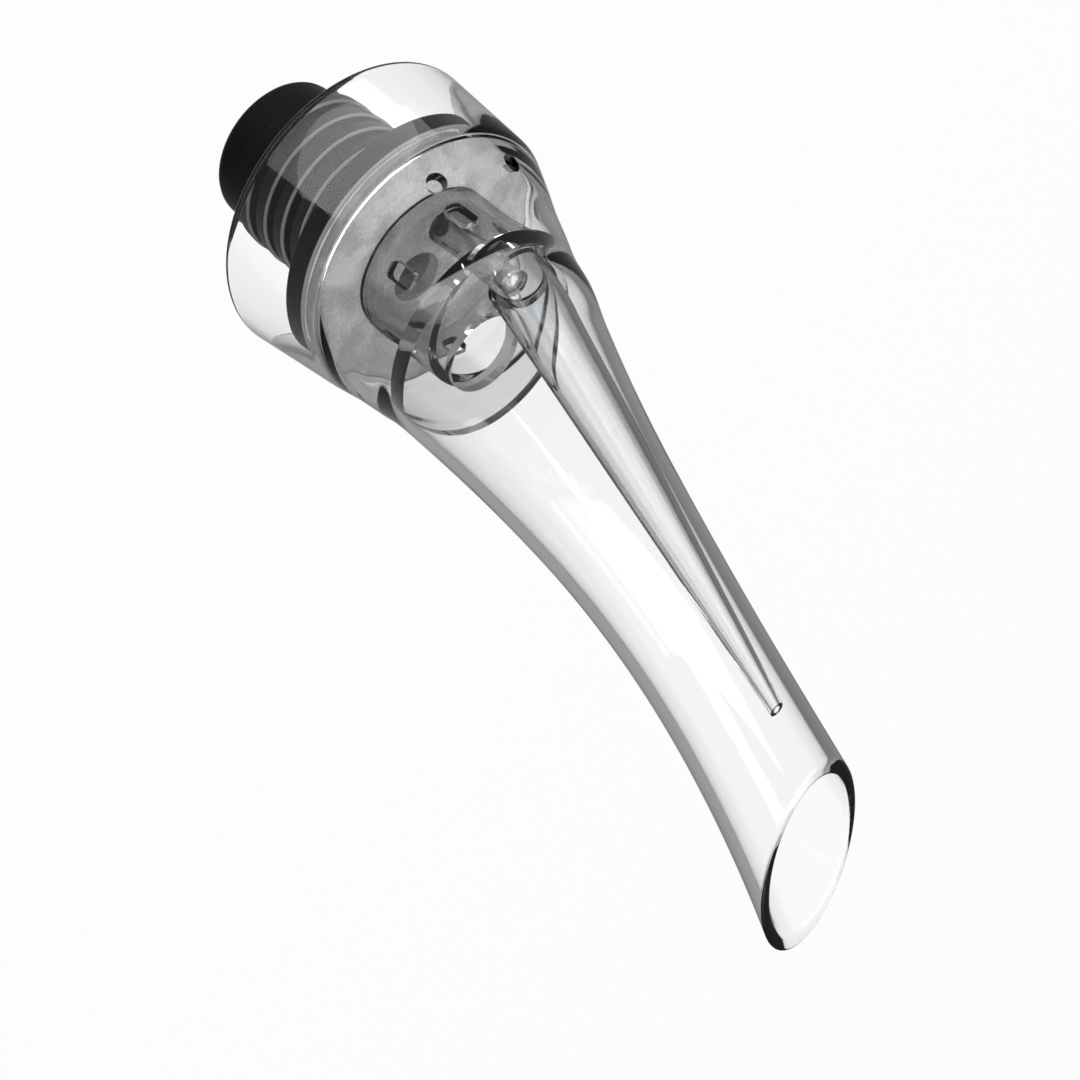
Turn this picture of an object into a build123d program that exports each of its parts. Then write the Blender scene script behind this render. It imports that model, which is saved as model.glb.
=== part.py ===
from build123d import *
import math
import os

# A clear aerating pourer: a ribbed stopper, a mixing chamber and a leaning spout.
# Z runs up the stopper and the collar. The origin is the centre of the flat
# underside of the stopper's flange. The spout leans and pours towards +X.

os.makedirs("parts", exist_ok=True)

# Collar: a skirt that hangs below the flange, and the ledge that stops the plate
rim_radius = 20.5
rim_drop = 9.0
rim_bevel = 0.5
collar_wall = 1.6
ledge_height = 5.75
ledge_radius = 19.1
ledge_width = 0.7

# Funnel: from the ledge over the shoulder to the throat, at even steps upwards
funnel_radii = [18.0, 16.9, 16.05, 15.2]
funnel_shift_shares = [0.22, 0.45, 0.66, 0.87]
shoulder_wall = 1.7
throat_height = 20.0
throat_radius = 14.65
throat_shift = 3.95

# Spout: its centre line leans, runs straight, then bends over towards the mouth.
# It narrows to a waist and flares again.
lean_angle = 15.4
spout_run = 86.0
straight_run = 25.0
bend_angle = 10.8
waist_run = 56.0
waist_radius = 7.76
mouth_radius = 9.3
spout_wall = 1.35
spout_bands = 14

# Mouth: cut on the slant, longest on the pouring side
cut_back = 11.4
cut_angle = 41.0
lip_bevel = 0.3

# Air inlets through the top of the shoulder
inlet_radius = 1.3
inlet_height = 10.0
inlet_reach = 15.9
inlet_tilt = 30.0
inlet_spacing = 43.0
inlet_count = 3

# Stopper: a soft ribbed plug under a flange, with a shallow relief round the plug
flange_gap = 0.32
flange_thickness = 3.6
flange_bevel = 0.4
relief_depth = 0.5
relief_width = 0.3
plug_length = 25.0
plug_radius = 9.9
plug_bevel = 0.9
bore_radius = 8.2
rib_count = 5
rib_height = 2.1
rib_first_drop = 1.6
rib_tail = 7.9
rib_radius = 12.0
rib_last_radius = 10.9

# Inlet plate: closes the collar, carries the chamber and holds the stopper
plate_fit = 0.26
plate_seat_gap = 0.15
stack_gap = 0.05
spigot_fit = 0.08
spigot_wall = 1.3
spigot_end_gap = 2.0
nozzle_radius = 3.6
nozzle_shift = 2.4
locating_height = 2.0
locating_wall = 1.2
groove_depth = 1.1
groove_height = 1.3

# Seal ring in the plate's groove, standing just proud of the plate
seal_width = 1.18
seal_height = 1.2
seal_floor_gap = 0.02

# Mixing chamber: a clear sleeve with air ports near its foot
chamber_radius = 10.4
chamber_wall = 1.2
chamber_fit = 0.08
chamber_top_gap = 0.2
port_count = 6
port_width = 2.4
port_height = 4.2
port_lift = 3.4

# Outlet disc: closes the chamber at the throat
disc_thickness = 2.2
disc_fit = 0.05
pour_port_radius = 5.3
pour_port_shift = 4.9

# Vent stem: leads air down past the stopper
stem_radius = 1.9
stem_bore_radius = 1.2
stem_shift = -4.6
stem_fit = 0.05
stem_top_gap = 0.5
stem_drop = 4.0

# Air tube: a long taper along the top of the spout
tube_width = 8.0
tube_breadth = 11.4
tube_shift = -5.3
tube_wall = 0.9
tube_seat_depth = 0.8
tube_fit = 0.1
tube_tip_radius = 0.9
tube_tip_bore = 0.45
tube_tip_run = 59.3
tube_tip_gap = 0.85
tube_bands = 16

overrun = 1.0


def centre_point(run):
    """Place and lean of the spout's centre line, a distance above the throat."""
    lean = math.radians(lean_angle)
    straight = min(run, straight_run)
    x = throat_shift + straight * math.sin(lean)
    z = throat_height + straight * math.cos(lean)
    bend_radius = (spout_run - straight_run) / math.radians(bend_angle)
    turn = (run - straight) / bend_radius
    x += bend_radius * (math.cos(lean) - math.cos(lean + turn))
    z += bend_radius * (math.sin(lean + turn) - math.sin(lean))
    return x, z, lean + turn


def section_plane(x, z, lean):
    return Plane(
        origin=(x, 0, z),
        x_dir=(math.cos(lean), 0, -math.sin(lean)),
        z_dir=(math.sin(lean), 0, math.cos(lean)),
    )


def wall_circle(x, z, lean, radius, drawn_in):
    return section_plane(x, z, lean) * Circle(radius - drawn_in)


def funnel_solid(start_radius, shoulder_in, throat_in):
    """Everything inside the funnel's surface, from the ledge to the throat."""
    circles = [Pos(0, 0, ledge_height) * Circle(start_radius)]
    steps = len(funnel_radii) + 1
    for k, radius in enumerate(funnel_radii, start=1):
        x = throat_shift * funnel_shift_shares[k - 1]
        z = ledge_height + (throat_height - ledge_height) * k / steps
        lean = math.radians(lean_angle) * k / steps
        circles.append(wall_circle(x, z, lean, radius, shoulder_in))
    circles.append(wall_circle(*centre_point(0), throat_radius, throat_in))
    return loft(circles, ruled=True)


def spout_radius(run):
    """Two parabolas that meet at the waist: the throat's side and the mouth's side."""
    end_radius = throat_radius if run < waist_run else mouth_radius
    end_run = 0 if run < waist_run else spout_run
    share = (run - waist_run) / (end_run - waist_run)
    return waist_radius + (end_radius - waist_radius) * share**2


def spout_solid(drawn_in):
    """Everything inside the spout's surface, from the throat to the mouth."""
    circles = []
    for k in range(spout_bands + 1):
        run = spout_run * k / spout_bands
        circles.append(wall_circle(*centre_point(run), spout_radius(run), drawn_in))
    return loft(circles, ruled=True)


def funnel_bore(fit):
    start_radius = ledge_radius - collar_wall - ledge_width - fit
    return funnel_solid(start_radius, shoulder_wall + fit, spout_wall + fit)


def skirt_bore_radius(height):
    """Inner radius of the collar at a height between its rim and its ledge."""
    share = (height + rim_drop) / (ledge_height + rim_drop)
    return rim_radius + share * (ledge_radius - rim_radius) - collar_wall


def spout_body():
    collar_length = rim_drop + ledge_height
    collar_middle = (ledge_height - rim_drop) / 2
    collar = Pos(0, 0, collar_middle) * Cone(rim_radius, ledge_radius, collar_length)
    collar -= Pos(0, 0, collar_middle) * Cone(
        rim_radius - collar_wall, ledge_radius - collar_wall, collar_length
    )
    collar = chamfer(collar.edges().group_by(Axis.Z)[0], rim_bevel)
    funnel = funnel_solid(ledge_radius, 0, 0) - funnel_bore(0)
    spout = spout_solid(0) - spout_solid(spout_wall)
    body = collar + funnel + spout
    x, z, lean = centre_point(spout_run - cut_back)
    cut = section_plane(x, z, lean - math.radians(cut_angle))
    body = split(body, bisect_by=cut, keep=Keep.BOTTOM)
    body = chamfer(body.faces().sort_by(Axis(cut.origin, cut.z_dir))[-1].edges(), lip_bevel)
    for k in range(inlet_count):
        turn = 180 + inlet_spacing * (k - (inlet_count - 1) / 2)
        drill = Rot(0, 0, turn) * Pos(inlet_reach, 0, inlet_height)
        drill *= Rot(0, 90 - inlet_tilt, 0)
        body -= drill * Cylinder(inlet_radius, 4 * collar_wall)
    return body


def outlet_disc():
    foot = throat_height - disc_thickness
    slab = Pos(0, 0, foot + disc_thickness / 2) * Cylinder(rim_radius, disc_thickness)
    disc = (funnel_bore(disc_fit) & slab) + (spout_solid(spout_wall + disc_fit) & slab)
    through = 2 * disc_thickness + overrun
    disc -= Pos(pour_port_shift, 0, foot) * Cylinder(pour_port_radius, through)
    disc -= Pos(stem_shift, 0, foot) * Cylinder(stem_radius + stem_fit, through)
    seat = Pos(tube_shift, 0, throat_height - tube_seat_depth)
    seat *= Ellipse(tube_width / 2 + tube_fit, tube_breadth / 2 + tube_fit)
    tip_x, tip_z = tube_tip()
    way = (tip_x - tube_shift, 0, tip_z - throat_height + tube_seat_depth)
    return disc - extrude(seat, tube_seat_depth + overrun, dir=way)


def tube_tip():
    """Where the air tube ends, on the side of the centre line away from the pour."""
    x, z, lean = centre_point(tube_tip_run)
    offset = spout_radius(tube_tip_run) - spout_wall - tube_tip_radius - tube_tip_gap
    return x - offset * math.cos(lean), z + offset * math.sin(lean)


def tube_cone(foot_width, foot_breadth, tip_radius):
    """A straight taper of level ovals from the seat to the tip."""
    foot = throat_height - tube_seat_depth
    tip_x, tip_z = tube_tip()
    ovals = []
    for k in range(tube_bands + 1):
        share = k / tube_bands
        across = foot_width / 2 + share * (tip_radius - foot_width / 2)
        along = foot_breadth / 2 + share * (tip_radius - foot_breadth / 2)
        middle = Pos(tube_shift + share * (tip_x - tube_shift), 0, foot + share * (tip_z - foot))
        ovals.append(middle * Ellipse(across, along))
    return loft(ovals, ruled=True)


def air_tube():
    hollow = tube_cone(tube_width - 2 * tube_wall, tube_breadth - 2 * tube_wall, tube_tip_bore)
    return tube_cone(tube_width, tube_breadth, tube_tip_radius) - hollow


def mixing_chamber():
    foot = flange_thickness + stack_gap + plate_thickness()
    height = throat_height - disc_thickness - chamber_top_gap - foot
    sleeve = Pos(0, 0, foot + height / 2) * (
        Cylinder(chamber_radius, height) - Cylinder(chamber_radius - chamber_wall, height)
    )
    port = Pos(chamber_radius, 0, foot + port_lift + port_height / 2) * Box(
        4 * chamber_wall, port_width, port_height
    )
    port = fillet(port.edges().filter_by(Axis.X), port_width / 3)
    for k in range(port_count):
        sleeve -= Rot(0, 0, (k + 1 / 2) * 360 / port_count) * port
    return sleeve


def plate_thickness():
    return ledge_height - plate_seat_gap - flange_thickness - stack_gap


def plate_radius():
    return skirt_bore_radius(flange_thickness + stack_gap + plate_thickness()) - plate_fit


def inlet_plate():
    foot = flange_thickness + stack_gap
    thickness = plate_thickness()
    plate = Pos(0, 0, foot + thickness / 2) * Cylinder(plate_radius(), thickness)
    locating_radius = chamber_radius - chamber_wall - chamber_fit
    plate += Pos(0, 0, foot + thickness + locating_height / 2) * (
        Cylinder(locating_radius, locating_height)
        - Cylinder(locating_radius - locating_wall, locating_height)
    )
    spigot_radius = bore_radius - spigot_fit
    spigot_end = spigot_end_gap - plug_length
    spigot_length = foot - spigot_end
    plate += Pos(0, 0, foot - spigot_length / 2) * (
        Cylinder(spigot_radius, spigot_length)
        - Cylinder(spigot_radius - spigot_wall, spigot_length)
    )
    through = 2 * thickness + overrun
    plate -= Pos(nozzle_shift, 0, foot) * Cylinder(nozzle_radius, through)
    plate -= Pos(stem_shift, 0, foot) * Cylinder(stem_radius + stem_fit, through)
    groove = Cylinder(plate_radius() + overrun, groove_height)
    groove -= Cylinder(plate_radius() - groove_depth, groove_height)
    return plate - Pos(0, 0, foot + thickness / 2) * groove


def seal_ring():
    middle = flange_thickness + stack_gap + plate_thickness() / 2
    inside = plate_radius() - groove_depth + seal_floor_gap
    ring = Cylinder(inside + seal_width, seal_height) - Cylinder(inside, seal_height)
    return Pos(0, 0, middle) * ring


def vent_stem():
    top = throat_height - tube_seat_depth - stem_top_gap
    length = top + plug_length + stem_drop
    stem = Cylinder(stem_radius, length) - Cylinder(stem_bore_radius, length)
    return Pos(stem_shift, 0, top - length / 2) * stem


def stopper():
    flange_radius = min(skirt_bore_radius(0), skirt_bore_radius(flange_thickness)) - flange_gap
    flange = Pos(0, 0, flange_thickness / 2) * Cylinder(flange_radius, flange_thickness)
    flange = chamfer(flange.edges().filter_by(GeomType.CIRCLE), flange_bevel)
    relief = Cylinder(rib_radius + relief_width, 2 * relief_depth)
    plug = Pos(0, 0, (relief_depth - plug_length) / 2) * Cylinder(
        plug_radius, plug_length + relief_depth
    )
    plug = chamfer(plug.edges().group_by(Axis.Z)[0], plug_bevel)
    plug += flange - relief
    pitch = (plug_length - rib_first_drop - rib_height - rib_tail) / (rib_count - 1)
    for k in range(rib_count):
        reach = rib_radius + (rib_last_radius - rib_radius) * k / (rib_count - 1)
        middle = -rib_first_drop - k * pitch - rib_height / 2
        plug += Pos(0, 0, middle) * Cylinder(reach, rib_height)
    return plug - Cylinder(bore_radius, 2 * (plug_length + flange_thickness) + overrun)


pieces = {
    "spout_body": spout_body,
    "outlet_disc": outlet_disc,
    "air_tube": air_tube,
    "mixing_chamber": mixing_chamber,
    "inlet_plate": inlet_plate,
    "seal_ring": seal_ring,
    "vent_stem": vent_stem,
    "stopper": stopper,
}

for name, make in pieces.items():
    export_step(make(), f"parts/{name}.step")
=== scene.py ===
import math

import bmesh
import bpy
import numpy as np
from mathutils import Matrix, Vector


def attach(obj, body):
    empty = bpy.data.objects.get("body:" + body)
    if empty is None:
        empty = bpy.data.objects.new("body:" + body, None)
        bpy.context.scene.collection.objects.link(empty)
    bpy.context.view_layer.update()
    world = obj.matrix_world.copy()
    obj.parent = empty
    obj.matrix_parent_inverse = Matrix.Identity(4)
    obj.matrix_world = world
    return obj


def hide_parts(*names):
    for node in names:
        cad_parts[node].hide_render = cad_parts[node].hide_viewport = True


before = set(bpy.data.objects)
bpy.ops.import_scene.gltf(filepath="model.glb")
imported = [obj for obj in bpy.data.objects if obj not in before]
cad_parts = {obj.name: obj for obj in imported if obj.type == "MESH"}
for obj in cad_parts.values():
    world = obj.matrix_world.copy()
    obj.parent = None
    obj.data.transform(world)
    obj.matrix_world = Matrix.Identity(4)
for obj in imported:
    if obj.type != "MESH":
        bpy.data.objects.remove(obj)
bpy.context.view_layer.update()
MM = 0.001

# Sizes in millimetres, which follow the solids'
RIM_RADIUS, RIM_DROP, RIM_ROUND = 20.5, 9.0, 0.6
COLLAR_WALL, LEDGE_HEIGHT, LEDGE_RADIUS, LEDGE_WIDTH = 1.6, 5.75, 19.1, 0.7
FUNNEL_RADII = [18.0, 16.9, 16.05, 15.2]
FUNNEL_SHIFT_SHARES = [0.22, 0.45, 0.66, 0.87]
SHOULDER_WALL, THROAT_HEIGHT, THROAT_RADIUS, THROAT_SHIFT = 1.7, 20.0, 14.65, 3.95
LEAN, BEND = math.radians(15.4), math.radians(10.8)
SPOUT_RUN, STRAIGHT_RUN, SPOUT_WALL, SPOUT_BANDS = 86.0, 25.0, 1.35, 14
WAIST_RUN, WAIST_RADIUS, MOUTH_RADIUS = 56.0, 7.76, 9.3
CUT_BACK, CUT_ANGLE, LIP_ROUND = 11.4, math.radians(41.0), 0.45
INLET_COUNT, INLET_HEIGHT, INLET_REACH = 3, 10.0, 15.9
INLET_TILT, INLET_MIDDLE_TURN, INLET_SPACING = 30.0, 180.0, 43.0
FLANGE_RADIUS, FLANGE_THICKNESS, FLANGE_ROUND = 17.38, 3.6, 0.5
RELIEF_RADIUS, RELIEF_DEPTH = 12.3, 0.5
PLUG_LENGTH, PLUG_RADIUS, PLUG_ROUND, BORE_RADIUS = 25.0, 9.9, 1.1, 8.2
RIB_COUNT, RIB_PITCH, RIB_HEIGHT, RIB_FIRST_DROP = 5, 3.35, 2.1, 1.6
RIB_RADIUS, RIB_LAST_RADIUS, RIB_RAKE = 12.0, 10.9, 0.4
PLATE_FOOT, PLATE_TOP, PLATE_RADIUS = 3.65, 5.6, 17.25
SPIGOT_RADIUS, SPIGOT_BORE, SPIGOT_END = 8.12, 6.82, -23.0
GROOVE_RADIUS, GROOVE_FOOT, GROOVE_TOP = 16.15, 3.975, 5.275
LOCATING_RADIUS, LOCATING_BORE, LOCATING_TOP = 9.12, 7.92, 7.6
NOZZLE_RADIUS, NOZZLE_SHIFT = 3.6, 2.4
SEAL_BORE, SEAL_RADIUS, SEAL_FOOT, SEAL_TOP = 16.17, 17.35, 4.025, 5.225
CHAMBER_RADIUS, CHAMBER_BORE, CHAMBER_TOP = 10.4, 9.2, 17.6
PORT_COUNT, PORT_WIDTH, PORT_HEIGHT, PORT_MIDDLE = 6, 2.4, 4.2, 11.1
DISC_FOOT, DISC_FIT = 17.8, 0.05
POUR_PORT_RADIUS, POUR_PORT_SHIFT = 5.3, 4.9
STEM_RADIUS, STEM_BORE, STEM_SHIFT, STEM_HOLE = 1.9, 1.2, -4.6, 1.95
STEM_FOOT, STEM_TOP = -29.0, 18.7
TUBE_WIDTH, TUBE_BREADTH, TUBE_SHIFT, TUBE_WALL, TUBE_FOOT = 8.0, 11.4, -5.3, 0.9, 19.2
TUBE_TIP_RADIUS, TUBE_TIP_BORE, TUBE_TIP_SHIFT, TUBE_TIP_HEIGHT = 0.9, 0.45, 17.08, 78.34
TUBE_FIT = 0.1

# Small rounded edges in millimetres
LEDGE_ROUND, SPIGOT_MOUTH_ROUND, SPIGOT_END_ROUND = 0.2, 0.4, 0.3
PLATE_ROUND, GROOVE_ROUND, LOCATING_ROUND, LOCATING_FOOT_ROUND = 0.12, 0.1, 0.3, 0.2
CHAMBER_FOOT_ROUND, CHAMBER_TOP_ROUND = 0.2, 0.25
SEAL_INNER_ROUND, SEAL_OUTER_ROUND = 0.3, 0.4
STEM_ROUND, STEM_BORE_ROUND = 0.2, 0.15
RELIEF_EDGE_ROUND, RELIEF_TOP_ROUND, RELIEF_ROOT_ROUND = 0.1, 0.15, 0.3
RIB_ROUND, RIB_ROOT_ROUND, BORE_END_ROUND, BORE_TOP_ROUND = 0.35, 0.25, 0.2, 0.3

# The stopper's upper corners get a painted highlight outside this radius, so its bore stays black
HIGHLIGHT_RADIUS, HIGHLIGHT_BLEND = 10.4, 0.2

# Cutters: how far they reach past a wall, and the drill that flares the inlets outwards
CUTTER_MARGIN, PEG_MARGIN, SEAT_RISE = 1.0, 1.5, 2.0
DRILL_FOOT_RADIUS, DRILL_SPREAD, DRILL_REACH = 0.5, 3.56, 3.2

# How finely the meshes follow the shapes. A solid disc's outline starts at AXIS_RADIUS.
AROUND, WALL_STEPS, WALL_ROWS, DISC_WALL_STEPS, DISC_ROWS = 160, 220, 150, 320, 5
CORNER_STEPS, LIP_STEPS, PEG_STEPS, TUBE_STEPS = 5, 6, 32, 48
SLIVER, CORNER_MARGIN, AXIS_RADIUS = 0.004, 0.07, 0.02
SHARP_ANGLE, BODY_SHARP_ANGLE = 32.0, 40.0


class Wire:
    """A socket that sums like a number, so a mask can be written as 1 - wear * 0.4."""

    def __init__(self, sheet, socket):
        self.sheet = sheet
        self.socket = socket

    def maths(self, operation, first, second):
        """A wire from a Math node that joins two wires or numbers."""
        made = self.sheet.node("ShaderNodeMath", {"operation": operation}, {0: first, 1: second})
        return made["Value"]

    def __add__(self, other):
        return self.maths("ADD", self, other)

    def __sub__(self, other):
        return self.maths("SUBTRACT", self, other)

    def __rsub__(self, other):
        return self.maths("SUBTRACT", other, self)

    def __mul__(self, other):
        return self.maths("MULTIPLY", self, other)

    __radd__ = __add__
    __rmul__ = __mul__


class Made:
    """A node that was made, giving its outputs as wires."""

    def __init__(self, sheet, maker):
        self.sheet = sheet
        self.maker = maker

    def __getitem__(self, key):
        return Wire(self.sheet, self.maker.outputs[key])


class Sheet:
    """The nodes of one material, of one lamp or of the world."""

    def __init__(self, tree):
        self.tree = tree
        tree.nodes.clear()

    def node(self, kind, settings, sockets):
        """A node of this kind: its settings first, then the values or links of its sockets."""
        maker = self.tree.nodes.new(kind)
        for name, value in settings.items():
            setattr(maker, name, value)
        for key, value in sockets.items():
            if isinstance(value, Wire):
                self.tree.links.new(value.socket, maker.inputs[key])
            else:
                maker.inputs[key].default_value = value
        return Made(self, maker)

    def noise(self, place, scale, detail):
        """Soft random grey, finer with a larger scale."""
        sockets = {"Vector": place, "Scale": scale, "Detail": detail}
        return self.node("ShaderNodeTexNoise", {}, sockets)["Fac"]

    def between(self, value, low, high):
        """0 below low, 1 above high and smooth between them."""
        settings = {"interpolation_type": "SMOOTHSTEP"}
        sockets = {"Value": value, "From Min": low, "From Max": high}
        return self.node("ShaderNodeMapRange", settings, sockets)["Result"]

    def mix(self, share, first, second):
        """A colour between two colours, by the Mix node's colour sockets 6, 7 and 2."""
        return self.node("ShaderNodeMix", {"data_type": "RGBA"}, {0: share, 6: first, 7: second})[2]


def finish_sheet(name):
    """A new material and the sheet of its nodes."""
    material = bpy.data.materials.new(name)
    material.use_nodes = True
    return material, Sheet(material.node_tree)


def object_place(sheet):
    """The place on the piece, in metres, that a texture reads."""
    return sheet.node("ShaderNodeTexCoord", {}, {})["Object"]


def stretched(sheet, place, scale):
    """The same place, stretched along each axis before a texture reads it."""
    return sheet.node("ShaderNodeMapping", {}, {"Vector": place, "Scale": scale})["Vector"]


def bumps(sheet, height, strength, distance):
    """A surface direction that rises and falls with a height."""
    sockets = {"Height": height, "Strength": strength, "Distance": distance}
    return sheet.node("ShaderNodeBump", {}, sockets)["Normal"]


def surface(sheet, shader):
    sheet.node("ShaderNodeOutputMaterial", {}, {"Surface": shader})


def clear_acrylic(name, tint, slant_shade_tint, outline_shade_tint, bend, ripple):
    """Polished clear moulding, rippled, streaked and scuffed, with painted shade where seen at a
    slant.
    """
    material, sheet = finish_sheet(name)
    place = object_place(sheet)
    waves = sheet.noise(place, scale=70.0, detail=1.5)
    flow = sheet.noise(stretched(sheet, place, (260.0, 260.0, 40.0)), scale=1.0, detail=3.0)
    scuffs = sheet.between(sheet.noise(place, scale=620.0, detail=5.0), low=0.56, high=0.74)
    slant = sheet.node("ShaderNodeLayerWeight", {}, {"Blend": 0.5})["Facing"]
    # Painted shade: a wall seen at a slant is tinted grey, and seen edge-on it is tinted near black
    wall = sheet.between(slant + flow * 0.1, low=0.36, high=0.5)
    outline_shade = sheet.between(slant, low=0.74, high=0.96)
    colour = sheet.mix(wall, tint, slant_shade_tint)
    colour = sheet.mix(outline_shade, colour, outline_shade_tint)
    clear = sheet.node("ShaderNodeBsdfPrincipled", {}, {
        "Base Color": colour,
        "Roughness": 0.012 + scuffs * 0.07,
        "Transmission Weight": 1.0,
        "IOR": bend,
        "Normal": bumps(sheet, waves + flow * 0.12, strength=ripple, distance=0.0006),
    })["BSDF"]
    surface(sheet, clear)
    return material


def frosted_plastic(name):
    """Pale milky moulding, mottled inside, with a fine satin grain."""
    material, sheet = finish_sheet(name)
    place = object_place(sheet)
    cloud = sheet.between(sheet.noise(place, scale=190.0, detail=4.0), low=0.4, high=0.62)
    grain = sheet.noise(place, scale=2600.0, detail=2.0)
    colour = sheet.mix(cloud, (0.66, 0.67, 0.68, 1.0), (0.98, 0.98, 0.98, 1.0))
    milky = sheet.node("ShaderNodeBsdfPrincipled", {}, {
        "Base Color": colour,
        "Roughness": 0.2 + grain * 0.14,
        "Transmission Weight": 0.12,
        "IOR": 1.5,
        "Normal": bumps(sheet, cloud * 0.6 + grain * 0.06, strength=0.3, distance=0.0003),
    })["BSDF"]
    surface(sheet, milky)
    return material


def pale_silicone(name):
    """Translucent soft ring with a dusty bloom."""
    material, sheet = finish_sheet(name)
    place = object_place(sheet)
    bloom = sheet.between(sheet.noise(place, scale=420.0, detail=4.0), low=0.4, high=0.75)
    colour = sheet.mix(bloom, (0.42, 0.43, 0.45, 1.0), (0.62, 0.63, 0.65, 1.0))
    soft = sheet.node("ShaderNodeBsdfPrincipled", {}, {
        "Base Color": colour,
        "Roughness": 0.34 + bloom * 0.2,
        "Transmission Weight": 0.3,
        "IOR": 1.41,
        "Normal": bumps(sheet, bloom, strength=0.2, distance=0.0001),
    })["BSDF"]
    surface(sheet, soft)
    return material


def highlit_upper_corner(sheet, place):
    """1 on the rounded upper corners of the flange and the ribs, which get a painted highlight and
    a glossy coat.
    """
    facing = sheet.node("ShaderNodeTexCoord", {}, {})["Normal"]
    upward = sheet.node("ShaderNodeSeparateXYZ", {}, {0: facing})["Z"]
    level = stretched(sheet, place, (1.0, 1.0, 0.0))
    radius = sheet.node("ShaderNodeVectorMath", {"operation": "LENGTH"}, {0: level})["Value"]
    outer = sheet.between(radius, low=HIGHLIGHT_RADIUS * MM, high=(HIGHLIGHT_RADIUS + HIGHLIGHT_BLEND) * MM)
    level_face = sheet.between(upward, low=0.96, high=0.995)
    return sheet.between(upward, low=0.05, high=0.35) * (1 - level_face) * outer


def black_silicone(name):
    """Satin black moulded rubber: fine grain, a faint bloom, a few dust specks and painted
    highlights on its upper corners.
    """
    material, sheet = finish_sheet(name)
    place = object_place(sheet)
    grain = sheet.noise(place, scale=3200.0, detail=3.0)
    bloom = sheet.noise(stretched(sheet, place, (90.0, 90.0, 220.0)), scale=1.0, detail=4.0)
    dust = sheet.between(sheet.noise(place, scale=1900.0, detail=1.0), low=0.71, high=0.76)
    worn = sheet.between(bloom, low=0.45, high=0.75)
    edge = highlit_upper_corner(sheet, place)
    colour = sheet.mix(worn, (0.003, 0.003, 0.0035, 1.0), (0.008, 0.008, 0.0085, 1.0))
    colour = sheet.mix(dust * 0.15, colour, (0.1, 0.098, 0.095, 1.0))
    # Painted highlight: the upper corners are mixed towards pale grey where lamp light would glint
    colour = sheet.mix(edge * 0.9, colour, (0.42, 0.42, 0.42, 1.0))
    rubber = sheet.node("ShaderNodeBsdfPrincipled", {}, {
        "Base Color": colour,
        "Roughness": 0.36 + grain * 0.05 + worn * 0.08 + dust * 0.15,
        "Specular IOR Level": 0.1,
        "IOR": 1.45,
        "Coat Weight": edge,
        "Coat Roughness": 0.12,
        "Normal": bumps(sheet, grain + dust * 0.5, strength=0.03, distance=0.00004),
    })["BSDF"]
    surface(sheet, rubber)
    return material


def tilted_ring(x, z, lean, across_x, across_y):
    """Points of an ellipse whose middle is at x, z and whose axis leans towards +X."""
    turn = np.linspace(0, 2 * math.pi, AROUND, endpoint=False)
    along = across_x * np.cos(turn)
    return np.stack([
        x + along * math.cos(lean), across_y * np.sin(turn), z - along * math.sin(lean)
    ], axis=1)


def centre_point(run):
    """Where the spout's centre line is, and how it leans, at this run above the throat."""
    straight = min(run, STRAIGHT_RUN)
    x = THROAT_SHIFT + straight * math.sin(LEAN)
    z = THROAT_HEIGHT + straight * math.cos(LEAN)
    bend_radius = (SPOUT_RUN - STRAIGHT_RUN) / BEND
    turn = (run - straight) / bend_radius
    x += bend_radius * (math.cos(LEAN) - math.cos(LEAN + turn))
    z += bend_radius * (math.sin(LEAN + turn) - math.sin(LEAN))
    return x, z, LEAN + turn


def spout_radius(run):
    """The spout's outer radius, which narrows to the waist and then flares to the mouth."""
    end_radius = THROAT_RADIUS if run < WAIST_RUN else MOUTH_RADIUS
    end_run = 0 if run < WAIST_RUN else SPOUT_RUN
    share = (run - WAIST_RUN) / (end_run - WAIST_RUN)
    return WAIST_RADIUS + (end_radius - WAIST_RADIUS) * share**2


def wall_rings(start_radius, shoulder_in, spout_in):
    """The rings that one wall of the funnel and the spout follows, from the ledge up."""
    rings = [tilted_ring(0, LEDGE_HEIGHT, 0, start_radius, start_radius)]
    steps = len(FUNNEL_RADII) + 1
    for k, (radius, shift) in enumerate(zip(FUNNEL_RADII, FUNNEL_SHIFT_SHARES), start=1):
        height = LEDGE_HEIGHT + (THROAT_HEIGHT - LEDGE_HEIGHT) * k / steps
        radius -= shoulder_in
        rings.append(tilted_ring(THROAT_SHIFT * shift, height, LEAN * k / steps, radius, radius))
    for k in range(SPOUT_BANDS + 1):
        run = SPOUT_RUN * k / SPOUT_BANDS
        radius = spout_radius(run) - spout_in
        rings.append(tilted_ring(*centre_point(run), radius, radius))
    return np.array(rings)


def smooth_rings(rings, steps):
    """More rings, on one smooth curve through the given ones."""
    middles = rings.mean(axis=1)
    gaps = np.linalg.norm(np.diff(middles, axis=0), axis=1)
    knots = np.concatenate([[0], np.cumsum(gaps)])
    slopes = np.empty_like(rings)
    rise = np.diff(rings, axis=0) / gaps[:, None, None]
    share = (gaps[:-1] / (gaps[:-1] + gaps[1:]))[:, None, None]
    slopes[1:-1] = rise[:-1] * (1 - share) + rise[1:] * share
    slopes[0] = 2 * rise[0] - slopes[1]
    slopes[-1] = 2 * rise[-1] - slopes[-2]
    out = []
    for place in np.linspace(0, knots[-1], steps):
        k = min(np.searchsorted(knots, place, side="right") - 1, len(gaps) - 1)
        t = (place - knots[k]) / gaps[k]
        out.append(
            (2 * t**3 - 3 * t**2 + 1) * rings[k]
            + (t**3 - 2 * t**2 + t) * gaps[k] * slopes[k]
            + (3 * t**2 - 2 * t**3) * rings[k + 1]
            + (t**3 - t**2) * gaps[k] * slopes[k + 1]
        )
    return np.array(out)


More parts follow.
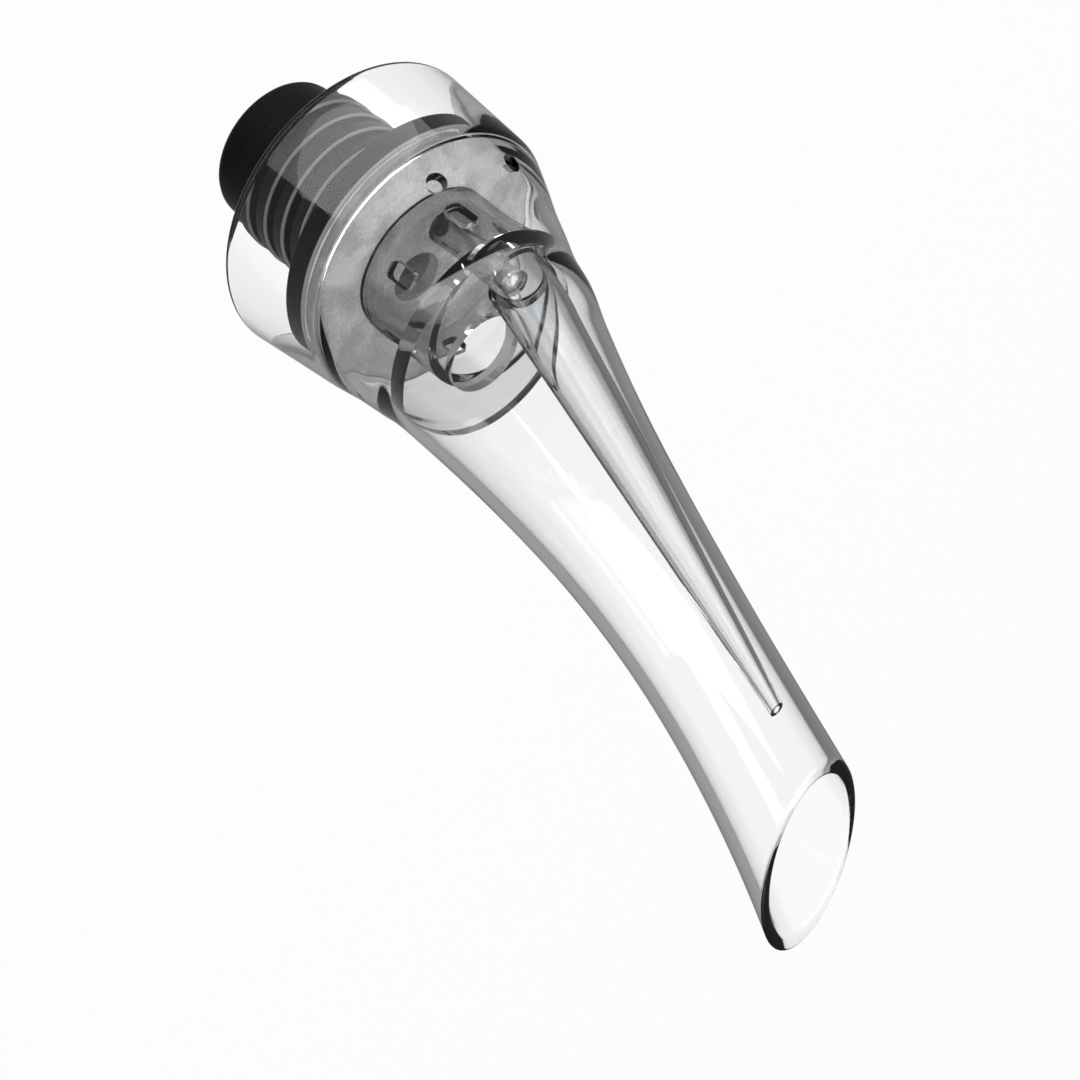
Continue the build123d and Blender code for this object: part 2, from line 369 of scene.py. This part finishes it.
def cut_lines(fine, middle, normal, rows):
    """Each line of points up the wall, ended where it meets the mouth's slanted plane."""
    height = (fine - middle) @ normal
    last = np.argmax(height > 0, axis=0)
    below = height[last - 1, np.arange(AROUND)]
    above = height[last, np.arange(AROUND)]
    end = last - 1 + below / (below - above)
    out = np.empty((rows, AROUND, 3))
    for column in range(AROUND):
        place = np.linspace(0, end[column], rows)
        low = np.minimum(place.astype(int), len(fine) - 2)
        part = (place - low)[:, None]
        out[:, column] = fine[low, column] * (1 - part) + fine[low + 1, column] * part
    return out


def mesh_piece(name, points, faces, material, sharp=SHARP_ANGLE):
    """A new object of one material, from points in millimetres."""
    mesh = bpy.data.meshes.new(name)
    mesh.from_pydata([tuple(p) for p in np.asarray(points) * MM], [], faces)
    mesh.validate()
    piece = bpy.data.objects.new(name, mesh)
    bpy.context.scene.collection.objects.link(piece)
    mesh.materials.append(material)
    smooth(mesh, sharp)
    return piece


def smooth(mesh, sharp):
    """Shades the faces smoothly, except across edges sharper than this angle in degrees."""
    for polygon in mesh.polygons:
        polygon.use_smooth = True
    mesh.set_sharp_from_angle(angle=math.radians(sharp))


def ring_faces(count, closed):
    """Quads between each ring and the next, and from the last to the first if closed."""
    faces = []
    for row in range(count if closed else count - 1):
        above = (row + 1) % count
        for k in range(AROUND):
            right = (k + 1) % AROUND
            faces.append((
                row * AROUND + k, row * AROUND + right,
                above * AROUND + right, above * AROUND + k,
            ))
    return faces


def skin(name, rings, material, sharp=SHARP_ANGLE):
    """A piece whose wall runs through these rings and back to the first."""
    rings = np.asarray(rings)
    faces = ring_faces(len(rings), closed=True)
    return mesh_piece(name, rings.reshape(-1, 3), faces, material, sharp)


def softened(outline):
    """Outline points (radius, height, rounding) with each corner turned into a small arc."""
    out = []
    count = len(outline)
    for k, (radius, height, rounding) in enumerate(outline):
        here = np.array([radius, height], float)
        if rounding == 0:
            out.append(here)
            continue
        before = np.array(outline[k - 1][:2], float) - here
        after = np.array(outline[(k + 1) % count][:2], float) - here
        before /= np.linalg.norm(before)
        after /= np.linalg.norm(after)
        half = math.acos(np.clip(before @ after, -1, 1)) / 2
        reach = rounding / math.tan(half)
        inward = (before + after) / np.linalg.norm(before + after)
        centre = here + inward * rounding / math.sin(half)
        start = here + before * reach - centre
        end = here + after * reach - centre
        sweep = math.pi - 2 * half
        for j in range(CORNER_STEPS + 1):
            part = j / CORNER_STEPS
            out.append(centre + (
                start * math.sin((1 - part) * sweep) + end * math.sin(part * sweep)
            ) / math.sin(sweep))
    return out


def with_margins(points):
    """More points near the ends of each long side, to keep a corner's shading at the corner."""
    out = []
    for here, following in zip(points, points[1:] + points[:1]):
        ahead = following - here
        share = CORNER_MARGIN / np.linalg.norm(ahead)
        out.append(here)
        if share < 1 / 3:
            out += [here + ahead * share, here + ahead * (1 - share)]
    return out


def turned(name, outline, material, shift=0.0):
    """A piece turned on the Z axis from a closed outline of (radius, height, rounding)."""
    rings = [tilted_ring(shift, z, 0, r, r) for r, z in with_margins(softened(outline))]
    return skin(name, rings, material)


def rod(radius_x, radius_y, low, high, material, spread=1.0):
    """A plain cutter between two points (x, z), whose head is wider by the factor spread."""
    foot = tilted_ring(low[0], low[1], 0, radius_x, radius_y)
    head = tilted_ring(high[0], high[1], 0, radius_x * spread, radius_y * spread)
    faces = ring_faces(2, closed=False)
    faces.append(tuple(reversed(range(AROUND))))
    faces.append(tuple(range(AROUND, 2 * AROUND)))
    return mesh_piece("cutter", np.concatenate([foot, head]), faces, material)


def drill_through(radius, shift, low, high, material):
    """A round cutter at this shift along X, a little longer than the wall from low to high."""
    foot, head = (shift, low - CUTTER_MARGIN), (shift, high + CUTTER_MARGIN)
    return rod(radius, radius, foot, head, material)


def slot_cutter(turn, material):
    """A round-cornered peg that cuts one port through the chamber's wall."""
    corner = PORT_WIDTH / 3
    half_width, half_height = PORT_WIDTH / 2 - corner, PORT_HEIGHT / 2 - corner
    section = []
    for k in range(PEG_STEPS):
        angle = 2 * math.pi * k / PEG_STEPS
        section.append((
            math.copysign(half_width, math.cos(angle)) + corner * math.cos(angle),
            math.copysign(half_height, math.sin(angle)) + corner * math.sin(angle),
        ))
    points = []
    for reach in (CHAMBER_BORE - PEG_MARGIN, CHAMBER_RADIUS + PEG_MARGIN):
        for across, up in section:
            x = reach * math.cos(turn) - across * math.sin(turn)
            y = reach * math.sin(turn) + across * math.cos(turn)
            points.append((x, y, PORT_MIDDLE + up))
    faces = []
    for k in range(PEG_STEPS):
        right = (k + 1) % PEG_STEPS
        faces.append((k, right, PEG_STEPS + right, PEG_STEPS + k))
    faces.append(tuple(reversed(range(PEG_STEPS))))
    faces.append(tuple(range(PEG_STEPS, 2 * PEG_STEPS)))
    return mesh_piece("cutter", points, faces, material)


def merge_slivers(mesh):
    """Joins the points that a cut leaves almost on top of one another."""
    shape = bmesh.new()
    shape.from_mesh(mesh)
    bmesh.ops.remove_doubles(shape, verts=shape.verts, dist=SLIVER * MM)
    bmesh.ops.dissolve_degenerate(shape, edges=shape.edges, dist=SLIVER * MM)
    shape.to_mesh(mesh)
    shape.free()


def cut_away(piece, cutters, sharp=SHARP_ANGLE):
    """Cuts each cutter's shape out of a piece, then throws the cutters away."""
    for cutter in cutters:
        knife = piece.modifiers.new("cut", "BOOLEAN")
        knife.operation = "DIFFERENCE"
        knife.solver = "EXACT"
        knife.material_mode = "TRANSFER"
        knife.object = cutter
    bpy.context.view_layer.update()
    ready = piece.evaluated_get(bpy.context.evaluated_depsgraph_get())
    mesh = bpy.data.meshes.new_from_object(ready)
    piece.modifiers.clear()
    piece.data = mesh
    merge_slivers(mesh)
    smooth(mesh, sharp)
    for cutter in cutters:
        bpy.data.objects.remove(cutter)


def place_piece(piece, node, body):
    """Hides the solid that a piece replaces and hangs the piece on the body it rides."""
    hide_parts(node)
    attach(piece, body)


# The clear pieces' second and third tints are painted shade, for walls at a slant and for outlines
clear_shell = clear_acrylic(
    "clear_shell_acrylic",
    tint=(0.985, 0.988, 0.99, 1.0),
    slant_shade_tint=(0.86, 0.865, 0.87, 1.0),
    outline_shade_tint=(0.06, 0.061, 0.063, 1.0),
    bend=1.36,
    ripple=0.12,
)
clear_inner = clear_acrylic(
    "clear_inner_acrylic",
    tint=(0.97, 0.975, 0.98, 1.0),
    slant_shade_tint=(0.6, 0.605, 0.615, 1.0),
    outline_shade_tint=(0.05, 0.052, 0.055, 1.0),
    bend=1.4,
    ripple=0.16,
)
# Painted shade: the drilled inlets' walls are clear acrylic tinted near black, so the holes look
# dark
bore_painted_shade = clear_acrylic(
    "bore_painted_shade_acrylic",
    tint=(0.06, 0.06, 0.062, 1.0),
    slant_shade_tint=(0.03, 0.03, 0.031, 1.0),
    outline_shade_tint=(0.01, 0.01, 0.011, 1.0),
    bend=1.36,
    ripple=0.3,
)
milky_plate = frosted_plastic("milky_plate_plastic")
seal_silicone = pale_silicone("pale_seal_silicone")
stopper_silicone = black_silicone("black_stopper_silicone")


def bore_wall(fit):
    """The rings that the bore of the funnel and the spout follows, further in by a fit."""
    start_radius = LEDGE_RADIUS - COLLAR_WALL - LEDGE_WIDTH - fit
    return wall_rings(start_radius, SHOULDER_WALL + fit, SPOUT_WALL + fit)


def make_spout_body():
    x, z, lean = centre_point(SPOUT_RUN - CUT_BACK)
    middle = np.array([x, 0, z])
    normal = np.array([math.sin(lean - CUT_ANGLE), 0, math.cos(lean - CUT_ANGLE)])
    outer_wall = smooth_rings(wall_rings(LEDGE_RADIUS, 0, 0), WALL_STEPS)
    inner_wall = smooth_rings(bore_wall(0), WALL_STEPS)
    outside = cut_lines(outer_wall, middle, normal, WALL_ROWS)
    inside = cut_lines(inner_wall, middle, normal, WALL_ROWS)
    across = inside[-1] - outside[-1]
    across /= np.linalg.norm(across, axis=1)[:, None]
    lip = []
    for wall, way in ((outside, 1), (inside, -1)):
        along = wall[-1] - wall[-3]
        along /= np.linalg.norm(along, axis=1)[:, None]
        hub = wall[-1] - LIP_ROUND * along + LIP_ROUND * way * across
        arc = [
            hub - LIP_ROUND * way * across * math.cos(a) + LIP_ROUND * along * math.sin(a)
            for a in np.linspace(0, math.pi / 2, LIP_STEPS)
        ]
        lip.append(arc if way == 1 else arc[::-1])
    collar = [
        (LEDGE_RADIUS - COLLAR_WALL - LEDGE_WIDTH, LEDGE_HEIGHT, 0),
        (LEDGE_RADIUS - COLLAR_WALL, LEDGE_HEIGHT, LEDGE_ROUND),
        (RIM_RADIUS - COLLAR_WALL, -RIM_DROP, RIM_ROUND),
        (RIM_RADIUS, -RIM_DROP, RIM_ROUND),
        (LEDGE_RADIUS, LEDGE_HEIGHT, 0),
    ]
    collar_rings = [tilted_ring(0, h, 0, r, r) for r, h in softened(collar)][1:-1]
    rings = collar_rings + list(outside[:-1]) + lip[0] + lip[1] + list(inside[:-1][::-1])
    body = skin("spout_body_clear", rings, clear_shell, BODY_SHARP_ANGLE)
    drills = []
    for k in range(INLET_COUNT):
        drill = rod(
            DRILL_FOOT_RADIUS, DRILL_FOOT_RADIUS, (0, -DRILL_REACH), (0, DRILL_REACH),
            bore_painted_shade, DRILL_SPREAD,
        )
        turn = INLET_MIDDLE_TURN + INLET_SPACING * (k - (INLET_COUNT - 1) / 2)
        drill.data.transform(
            Matrix.Rotation(math.radians(turn), 4, "Z")
            @ Matrix.Translation((INLET_REACH * MM, 0, INLET_HEIGHT * MM))
            @ Matrix.Rotation(math.radians(90 - INLET_TILT), 4, "Y")
        )
        drills.append(drill)
    cut_away(body, drills, BODY_SHARP_ANGLE)
    place_piece(body, "spout_body", "shell")


def ring_at_height(fine, height):
    """The ring that a level plane at a height cuts from a wall."""
    last = np.argmax(fine[:, :, 2] > height, axis=0)
    columns = np.arange(AROUND)
    low, high = fine[last - 1, columns], fine[last, columns]
    part = (height - low[:, 2]) / (high[:, 2] - low[:, 2])
    return low + (high - low) * part[:, None]


def make_outlet_disc():
    wall = smooth_rings(bore_wall(DISC_FIT), DISC_WALL_STEPS)
    heights = np.linspace(DISC_FOOT, THROAT_HEIGHT, DISC_ROWS)
    rings = [ring_at_height(wall, height) for height in heights]
    faces = ring_faces(len(rings), closed=False)
    faces.append(tuple(reversed(range(AROUND))))
    faces.append(tuple(range((DISC_ROWS - 1) * AROUND, DISC_ROWS * AROUND)))
    disc = mesh_piece("outlet_disc_clear", np.concatenate(rings), faces, clear_inner)
    slope = (TUBE_TIP_SHIFT - TUBE_SHIFT) / (TUBE_TIP_HEIGHT - TUBE_FOOT)
    cut_away(disc, [
        drill_through(POUR_PORT_RADIUS, POUR_PORT_SHIFT, DISC_FOOT, THROAT_HEIGHT, clear_inner),
        drill_through(STEM_HOLE, STEM_SHIFT, DISC_FOOT, THROAT_HEIGHT, clear_inner),
        rod(
            TUBE_WIDTH / 2 + TUBE_FIT, TUBE_BREADTH / 2 + TUBE_FIT, (TUBE_SHIFT, TUBE_FOOT),
            (TUBE_SHIFT + slope * SEAT_RISE, TUBE_FOOT + SEAT_RISE), clear_inner,
        ),
    ])
    place_piece(disc, "outlet_disc", "shell")


def make_air_tube():
    walls = []
    for width, breadth, tip in (
        (TUBE_WIDTH / 2, TUBE_BREADTH / 2, TUBE_TIP_RADIUS),
        (TUBE_WIDTH / 2 - TUBE_WALL, TUBE_BREADTH / 2 - TUBE_WALL, TUBE_TIP_BORE),
    ):
        foot = tilted_ring(TUBE_SHIFT, TUBE_FOOT, 0, width, breadth)
        head = tilted_ring(TUBE_TIP_SHIFT, TUBE_TIP_HEIGHT, 0, tip, tip)
        walls.append([foot + (head - foot) * k / TUBE_STEPS for k in range(TUBE_STEPS + 1)])
    tube = skin("air_tube_clear", walls[0] + walls[1][::-1], clear_inner)
    place_piece(tube, "air_tube", "shell")


def make_mixing_chamber():
    sleeve = turned("mixing_chamber_clear", [
        (CHAMBER_RADIUS, PLATE_TOP, CHAMBER_FOOT_ROUND),
        (CHAMBER_RADIUS, CHAMBER_TOP, CHAMBER_TOP_ROUND),
        (CHAMBER_BORE, CHAMBER_TOP, CHAMBER_TOP_ROUND),
        (CHAMBER_BORE, PLATE_TOP, CHAMBER_FOOT_ROUND),
    ], clear_inner)
    turns = [2 * math.pi * (k + 0.5) / PORT_COUNT for k in range(PORT_COUNT)]
    cut_away(sleeve, [slot_cutter(turn, clear_inner) for turn in turns])
    place_piece(sleeve, "mixing_chamber", "core")


def make_inlet_plate():
    plate = turned("inlet_plate_milky", [
        (AXIS_RADIUS, PLATE_FOOT, 0),
        (SPIGOT_BORE, PLATE_FOOT, SPIGOT_MOUTH_ROUND),
        (SPIGOT_BORE, SPIGOT_END, SPIGOT_END_ROUND),
        (SPIGOT_RADIUS, SPIGOT_END, SPIGOT_END_ROUND),
        (SPIGOT_RADIUS, PLATE_FOOT, 0),
        (PLATE_RADIUS, PLATE_FOOT, PLATE_ROUND),
        (PLATE_RADIUS, GROOVE_FOOT, GROOVE_ROUND),
        (GROOVE_RADIUS, GROOVE_FOOT, 0),
        (GROOVE_RADIUS, GROOVE_TOP, 0),
        (PLATE_RADIUS, GROOVE_TOP, GROOVE_ROUND),
        (PLATE_RADIUS, PLATE_TOP, PLATE_ROUND),
        (LOCATING_RADIUS, PLATE_TOP, 0),
        (LOCATING_RADIUS, LOCATING_TOP, LOCATING_ROUND),
        (LOCATING_BORE, LOCATING_TOP, LOCATING_ROUND),
        (LOCATING_BORE, PLATE_TOP, LOCATING_FOOT_ROUND),
        (AXIS_RADIUS, PLATE_TOP, 0),
    ], milky_plate)
    cut_away(plate, [
        drill_through(NOZZLE_RADIUS, NOZZLE_SHIFT, PLATE_FOOT, PLATE_TOP, milky_plate),
        drill_through(STEM_HOLE, STEM_SHIFT, PLATE_FOOT, PLATE_TOP, milky_plate),
    ])
    place_piece(plate, "inlet_plate", "core")


def make_seal_ring():
    seal = turned("seal_ring_pale", [
        (SEAL_BORE, SEAL_FOOT, SEAL_INNER_ROUND), (SEAL_RADIUS, SEAL_FOOT, SEAL_OUTER_ROUND),
        (SEAL_RADIUS, SEAL_TOP, SEAL_OUTER_ROUND), (SEAL_BORE, SEAL_TOP, SEAL_INNER_ROUND),
    ], seal_silicone)
    place_piece(seal, "seal_ring", "core")


def make_vent_stem():
    stem = turned("vent_stem_clear", [
        (STEM_RADIUS, STEM_FOOT, STEM_ROUND), (STEM_RADIUS, STEM_TOP, STEM_ROUND),
        (STEM_BORE, STEM_TOP, STEM_BORE_ROUND), (STEM_BORE, STEM_FOOT, STEM_BORE_ROUND),
    ], clear_inner, shift=STEM_SHIFT)
    place_piece(stem, "vent_stem", "core")


def make_stopper():
    outline = [
        (FLANGE_RADIUS, FLANGE_THICKNESS, FLANGE_ROUND),
        (FLANGE_RADIUS, 0, FLANGE_ROUND),
        (RELIEF_RADIUS, 0, RELIEF_EDGE_ROUND),
        (RELIEF_RADIUS, RELIEF_DEPTH, RELIEF_TOP_ROUND),
        (PLUG_RADIUS, RELIEF_DEPTH, RELIEF_ROOT_ROUND),
    ]
    for k in range(RIB_COUNT):
        reach = RIB_RADIUS + (RIB_LAST_RADIUS - RIB_RADIUS) * k / (RIB_COUNT - 1)
        top = -RIB_FIRST_DROP - k * RIB_PITCH
        foot = top - RIB_HEIGHT
        outline += [
            (PLUG_RADIUS, top, RIB_ROOT_ROUND), (reach, top, RIB_ROUND),
            (reach - RIB_RAKE, foot, RIB_ROUND), (PLUG_RADIUS, foot, RIB_ROOT_ROUND),
        ]
    outline += [
        (PLUG_RADIUS, -PLUG_LENGTH, PLUG_ROUND),
        (BORE_RADIUS, -PLUG_LENGTH, BORE_END_ROUND),
        (BORE_RADIUS, FLANGE_THICKNESS, BORE_TOP_ROUND),
    ]
    stopper = turned("stopper_black", outline[::-1], stopper_silicone)
    place_piece(stopper, "stopper", "stopper")


make_spout_body()
make_outlet_disc()
make_air_tube()
make_mixing_chamber()
make_inlet_plate()
make_seal_ring()
make_vent_stem()
make_stopper()

# Camera: its right, its up and its back, in the part's own frame
RIGHT = Vector((-0.4413, 0.6081, 0.6599)).normalized()
BACK = Vector((-0.3104, -0.7934, 0.5236)).normalized()
UP = BACK.cross(RIGHT).normalized()
RIGHT = UP.cross(BACK).normalized()
EYE = Vector((-84.99, -266.13, 215.12)) * MM
MIDDLE = Vector((8.0, 0.0, 35.0)) * MM
SENSOR_WIDTH, FOCAL_PIXELS, FRAME_PIXELS = 36, 2800, 1080

camera_data = bpy.data.cameras.new("camera")
camera_data.lens = SENSOR_WIDTH * FOCAL_PIXELS / FRAME_PIXELS
camera_data.sensor_width = SENSOR_WIDTH
camera_data.clip_start = 0.01
camera = bpy.data.objects.new("camera", camera_data)
camera.matrix_world = Matrix((
    (RIGHT.x, UP.x, BACK.x, EYE.x),
    (RIGHT.y, UP.y, BACK.y, EYE.y),
    (RIGHT.z, UP.z, BACK.z, EYE.z),
    (0, 0, 0, 1),
))
bpy.context.scene.collection.objects.link(camera)
bpy.context.scene.camera = camera


def soft_lamp(name, way, distance, width, height, power):
    """A rectangular soft lamp that stands this way from the object's middle and faces it."""
    lamp_data = bpy.data.lights.new(name, "AREA")
    lamp_data.shape = "RECTANGLE"
    lamp_data.size = width
    lamp_data.size_y = height
    lamp_data.energy = power
    lamp = bpy.data.objects.new(name, lamp_data)
    lamp.location = MIDDLE + way.normalized() * distance
    lamp.rotation_euler = way.to_track_quat("Z", "Y").to_euler()
    bpy.context.scene.collection.objects.link(lamp)
    return lamp_data


def unreflected(sheet, path):
    """1 for light that meets no reflection between its source and the eye."""
    return 1 - sheet.between(path["Glossy Depth"], low=0.0, high=1.0)


def calm_behind_plastic(lamp_data):
    """Keeps a lamp that stands behind clear walls from burning their greys out."""
    lamp_data.use_nodes = True
    sheet = Sheet(lamp_data.node_tree)
    path = sheet.node("ShaderNodeLightPath", {}, {})
    through = sheet.between(path["Transmission Depth"], low=0.0, high=1.0)
    strength = 1 - through * unreflected(sheet, path)
    glow = sheet.node("ShaderNodeEmission", {}, {"Strength": strength})
    sheet.node("ShaderNodeOutputLight", {}, {"Surface": glow["Emission"]})


# Distances and sizes in metres, power in watts
key_lamp = soft_lamp(
    "key_lamp", Vector((-0.71, -0.59, -0.36)), distance=0.55, width=1.0, height=0.3, power=2.9
)
calm_behind_plastic(key_lamp)
soft_lamp(
    "side_lamp", BACK * 0.5 + RIGHT + UP * 0.1, distance=0.7, width=0.25, height=0.5, power=1.4
)
soft_lamp(
    "top_lamp", Vector((0.0, 0.0, 1.0)), distance=0.8, width=0.8, height=0.8, power=4.2
)

REFLECTED_SHARE, FLOOR_GLOW_SHARE, WORLD_THROUGH_SHARE = 0.1, 0.97, 0.85
FLOOR_REACH, FLOOR_DROP = 6000.0, 500.0
DIM_GREY, WHITE = (0.12, 0.12, 0.12, 1.0), (1.0, 1.0, 1.0, 1.0)


def seen_plainly(sheet, through):
    """1 for what is seen straight, less through clear plastic, and little by reflection."""
    path = sheet.node("ShaderNodeLightPath", {}, {})
    seen_through = path["Is Transmission Ray"] * unreflected(sheet, path) * through
    return path["Is Camera Ray"] + seen_through + path["Is Glossy Ray"] * REFLECTED_SHARE


def make_floor():
    material, sheet = finish_sheet("pale_floor")
    grain = sheet.noise(object_place(sheet), scale=40.0, detail=3.0)
    colour = sheet.mix(grain, (0.88, 0.88, 0.88, 1.0), (0.92, 0.92, 0.92, 1.0))
    matt = sheet.node("ShaderNodeBsdfDiffuse", {}, {"Color": colour})["BSDF"]
    glow = sheet.node("ShaderNodeEmission", {}, {"Color": WHITE, "Strength": 1.0})
    share = seen_plainly(sheet, through=1.0) * FLOOR_GLOW_SHARE
    both = sheet.node("ShaderNodeMixShader", {}, {0: share, 1: matt, 2: glow["Emission"]})
    surface(sheet, both["Shader"])
    corners = [
        (x * FLOOR_REACH, y * FLOOR_REACH, -FLOOR_DROP)
        for x, y in ((-1, -1), (1, -1), (1, 1), (-1, 1))
    ]
    floor = mesh_piece("floor", corners, [(0, 1, 2, 3)], material)


def make_world():
    world = bpy.data.worlds.new("studio")
    bpy.context.scene.world = world
    world.use_nodes = True
    sheet = Sheet(world.node_tree)
    share = seen_plainly(sheet, through=WORLD_THROUGH_SHARE)
    colour = sheet.mix(share, DIM_GREY, WHITE)
    glow = sheet.node("ShaderNodeBackground", {}, {"Color": colour, "Strength": 1.0})
    sheet.node("ShaderNodeOutputWorld", {}, {"Surface": glow["Background"]})


make_floor()
make_world()
bpy.context.scene.view_settings.view_transform = "Standard"
